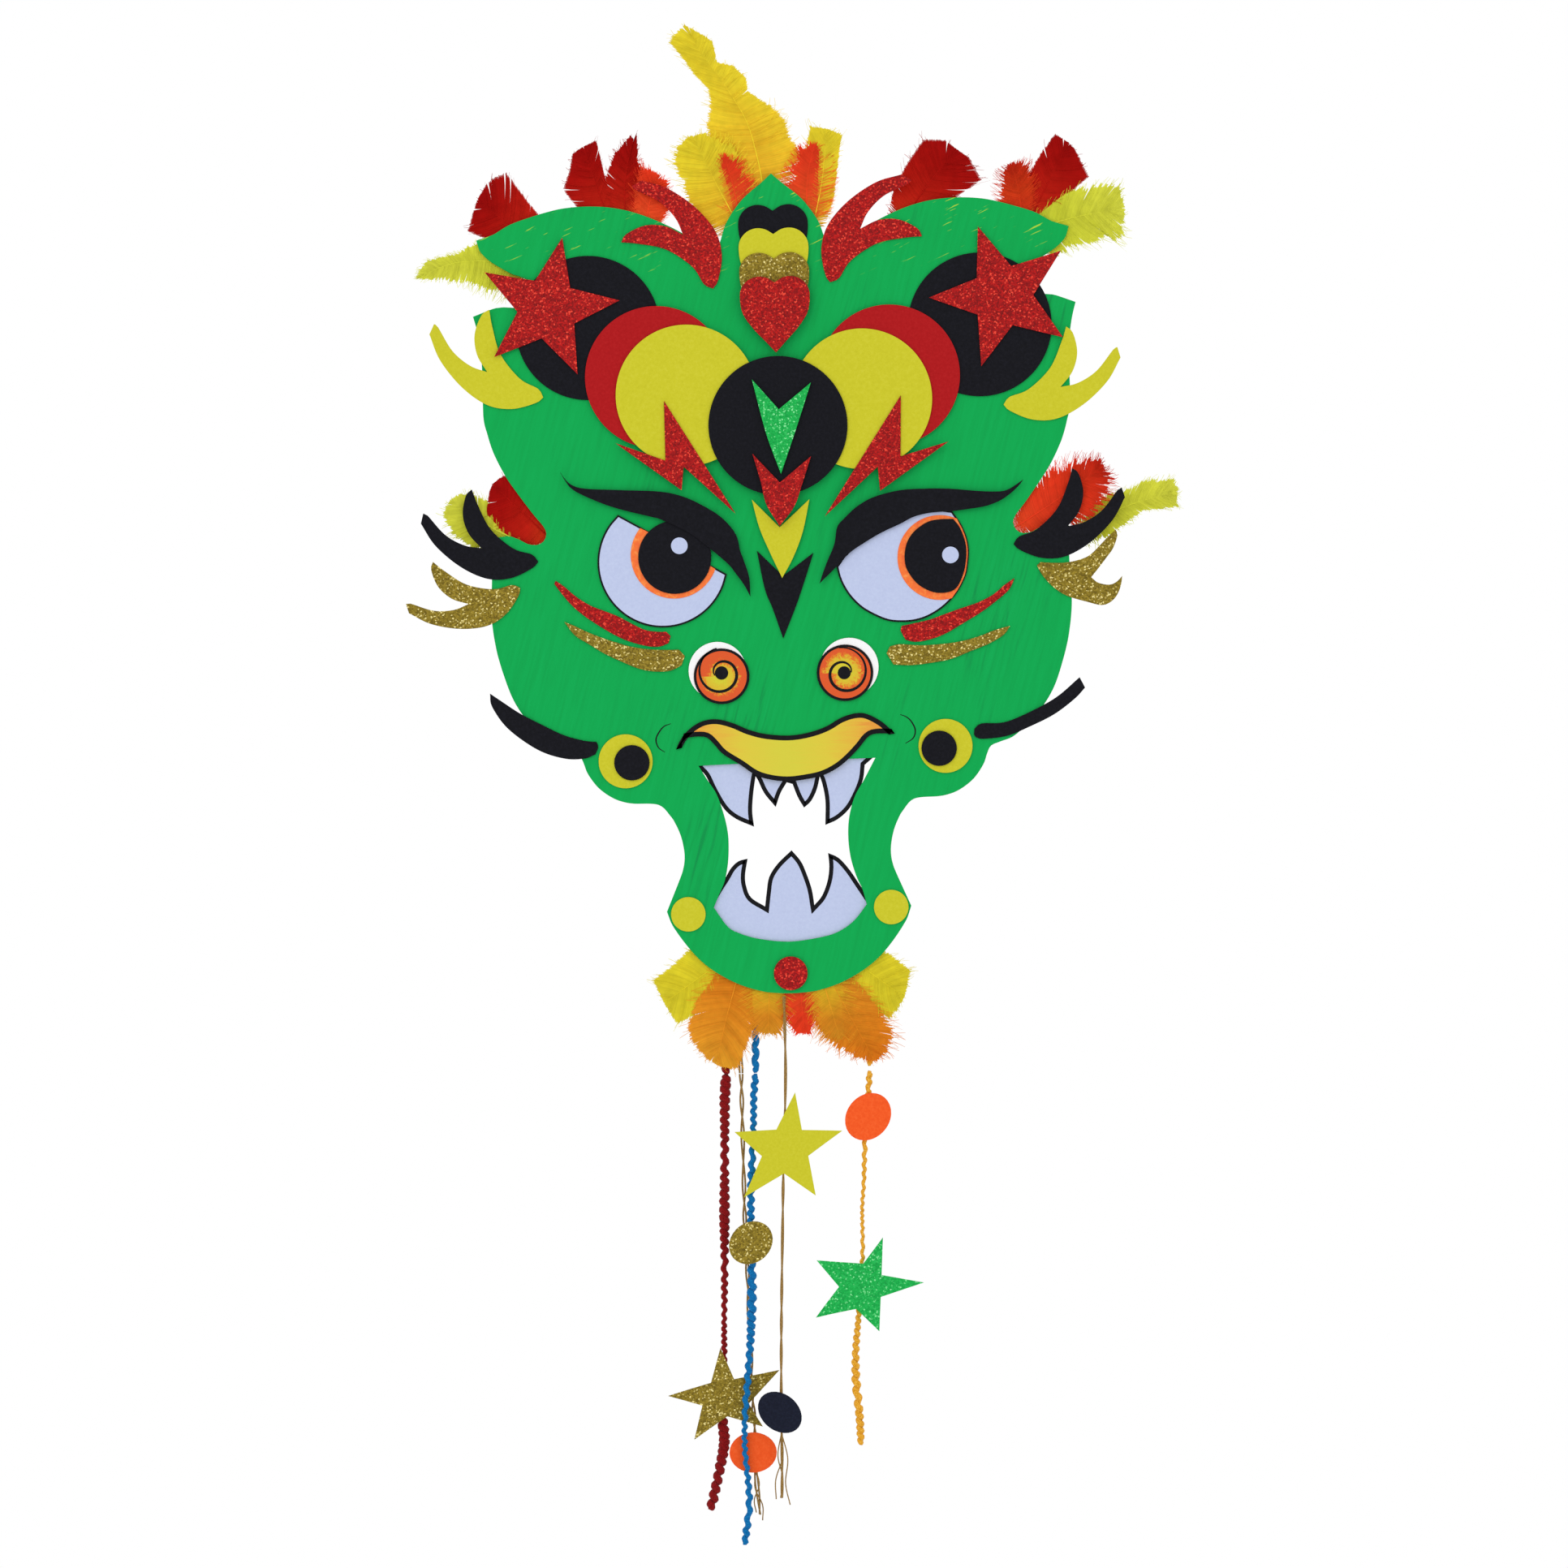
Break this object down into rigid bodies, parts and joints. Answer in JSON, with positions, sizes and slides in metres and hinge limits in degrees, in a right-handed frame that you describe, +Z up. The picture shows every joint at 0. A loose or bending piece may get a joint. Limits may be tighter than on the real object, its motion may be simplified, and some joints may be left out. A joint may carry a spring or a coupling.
{
  "type": "dragon kite",
  "caption": "Dragon face kite of painted card, with glued card and glitter foam shapes, feathers, and hanging yarn strands carrying star and disc tags.",
  "frame": {"origin": "The centre line of the card's back face, 234 mm below the crest's tip, on the face that rests on a wall", "axes": "+X to the right as one faces the dragon, +Y out of the card's back, away from the one who looks at it, +Z up"},
  "size_m": [0.3824, 0.0164, 0.7513],
  "materials": {
    "green_painted_card": "poster paint on card, brushed on",
    "yellow_card": "dyed craft card",
    "red_card": "dyed craft card",
    "orange_card": "dyed craft card",
    "black_card": "dyed craft card",
    "navy_card": "dyed craft card",
    "white_card": "cool white card with drawn edges",
    "lip_card": "yellow to orange printed card",
    "red_glitter_foam": "glitter foam sheet",
    "gold_glitter_foam": "glitter foam sheet",
    "green_glitter_foam": "glitter foam sheet",
    "yellow_feather": "dyed feather",
    "red_feather": "dyed feather",
    "orange_feather": "dyed feather",
    "red_yarn": "crinkled yarn",
    "blue_yarn": "crinkled yarn",
    "yellow_yarn": "crinkled yarn",
    "gold_thread": "fine twisted thread"
  },
  "bodies": {
    "root": {"black_horn_left": "black_card", "black_horn_right": "black_card", "bolt_left": "red_glitter_foam", "bolt_right": "red_glitter_foam", "cheek_feathers_left": "red_feather", "cheek_feathers_right": "red_feather", "chevron_green": "green_glitter_foam", "chevron_red": "red_glitter_foam", "chevron_yellow": "yellow_card", "chin_feathers": "orange_feather", "crest_feathers": "yellow_feather", "crest_horn_left": "red_glitter_foam", "crest_horn_right": "red_glitter_foam", "ear_disc_left": "black_card", "ear_disc_right": "black_card", "ear_feathers_left": "red_feather", "ear_feathers_right": "red_feather", "ear_star_left": "red_glitter_foam", "ear_star_right": "red_glitter_foam", "eyeball_left": "white_card", "eyeball_right": "white_card", "eyelid_left": "black_card", "eyelid_right": "black_card", "face_card": "green_painted_card", "forehead_disc": "black_card", "gold_horn_left": "gold_glitter_foam", "gold_horn_right": "gold_glitter_foam", "gold_stripe_left": "gold_glitter_foam", "gold_stripe_right": "gold_glitter_foam", "heart_black": "black_card", "heart_gold": "gold_glitter_foam", "heart_red": "red_glitter_foam", "heart_yellow": "yellow_card", "lower_teeth": "white_card", "pupil_left": "black_card", "pupil_right": "black_card", "red_brow_disc_left": "red_card", "red_brow_disc_right": "red_card", "red_stripe_left": "red_glitter_foam", "red_stripe_right": "red_glitter_foam", "upper_lip": "lip_card", "upper_teeth": "white_card", "whisker_left": "black_card", "whisker_right": "black_card", "yellow_brow_disc_left": "yellow_card", "yellow_brow_disc_right": "yellow_card", "yellow_horn_left": "yellow_card", "yellow_horn_right": "yellow_card"},
    "red_strand": {"red_yarn": "red_yarn", "star_tag_gold": "gold_glitter_foam"},
    "blue_strand": {"back_gold_threads": "gold_thread", "blue_yarn": "blue_yarn", "disc_tag_gold": "gold_glitter_foam", "disc_tag_orange_left": "orange_card"},
    "front_strand": {"disc_tag_navy": "navy_card", "front_gold_threads": "gold_thread", "star_tag_yellow": "yellow_card"},
    "yellow_strand": {"disc_tag_orange_right": "orange_card", "star_tag_green": "green_glitter_foam", "yellow_yarn": "yellow_yarn"}
  },
  "joints": [
    {"name": "red_strand_swing", "type": "hinge", "parent": "root", "child": "red_strand", "pos_m": [-0.033, 0.0036, -0.209], "axis": [-1, 0, 0], "range_deg": [-20, 0]},
    {"name": "blue_strand_swing", "type": "hinge", "parent": "root", "child": "blue_strand", "pos_m": [-0.0186, 0.0036, -0.209], "axis": [-1, 0, 0], "range_deg": [-20, 0]},
    {"name": "yellow_strand_swing", "type": "hinge", "parent": "root", "child": "yellow_strand", "pos_m": [0.0378, 0.0036, -0.209], "axis": [-1, 0, 0], "range_deg": [-20, 60]},
    {"name": "front_strand_swing", "type": "hinge", "parent": "root", "child": "front_strand", "pos_m": [-0.0036, -0.0008, -0.171], "axis": [-1, 0, 0], "range_deg": [0, 60]}
  ],
  "couplings": [
    {"joint": "red_strand_swing", "follows": "blue_strand_swing", "ratio": 1}
  ]
}
